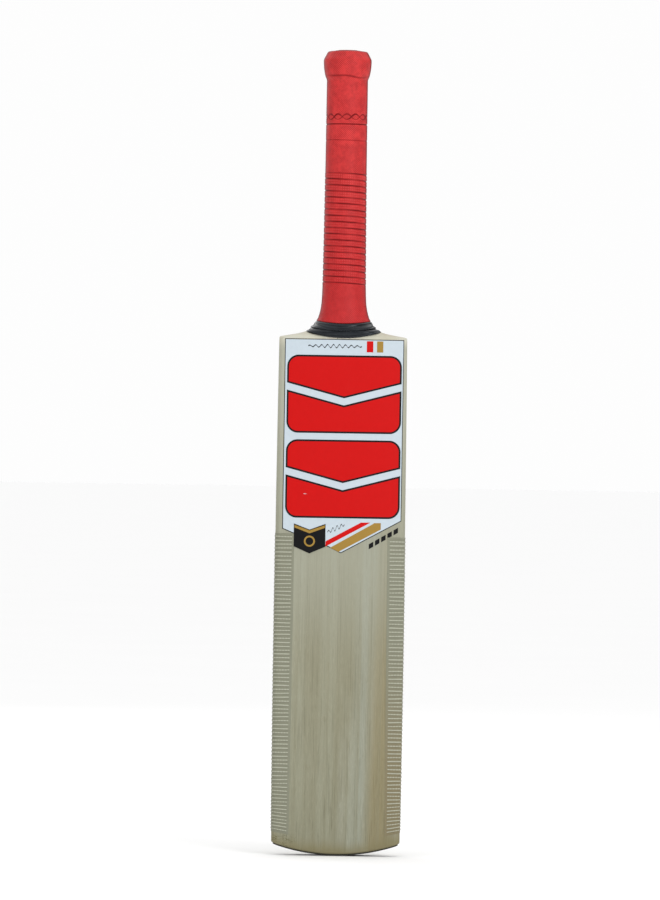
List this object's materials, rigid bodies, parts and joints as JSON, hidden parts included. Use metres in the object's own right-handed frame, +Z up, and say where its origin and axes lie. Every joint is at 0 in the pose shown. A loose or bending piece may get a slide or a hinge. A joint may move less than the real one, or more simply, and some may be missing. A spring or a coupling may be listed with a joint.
{
  "type": "cricket bat",
  "caption": "Cricket bat with a willow blade, a laminated cane handle spliced into it, a ribbed rubber grip, a taped collar, a printed face label and ribbed edge tapes.",
  "frame": {"origin": "under the middle of the bat's box, at the level of the lowest point of the toe", "axes": "+Z up along the bat from the toe to the handle's end, -Y out of the blade's face, +X to the right of someone who looks at the face"},
  "size_m": [0.1096, 0.0602, 0.67],
  "materials": {
    "willow": "oiled, fine straight grain",
    "guard_rubber": "matt",
    "cane": "sanded, with fine pores",
    "spring_rubber": "matt",
    "twine": "waxed",
    "grip_rubber": "satin, pebbled, with a spiral groove",
    "cap_rubber": "satin",
    "black_tape": "gloss",
    "white_vinyl": "semi-gloss",
    "red_vinyl": "semi-gloss",
    "black_vinyl": "semi-gloss",
    "ribbed_tape": "clear-coated cloth with raised threads"
  },
  "bodies": {
    "root": {"blade": "willow", "toe_guard": "guard_rubber", "cane_front_left": "cane", "cane_front_middle": "cane", "cane_front_right": "cane", "cane_centre_left": "cane", "cane_centre_middle": "cane", "cane_centre_right": "cane", "cane_back_left": "cane", "cane_back_middle": "cane", "cane_back_right": "cane", "spring_front": "spring_rubber", "spring_back": "spring_rubber", "twine_binding": "twine", "rubber_grip": "grip_rubber", "handle_end_cap": "cap_rubber", "upper_collar_turn": "black_tape", "lower_collar_turn": "black_tape", "face_label": "white_vinyl", "upper_red_panel": "red_vinyl", "lower_red_panel": "red_vinyl", "shield_badge": "black_vinyl", "left_edge_tape": "ribbed_tape", "right_edge_tape": "ribbed_tape"}
  },
  "joints": []
}
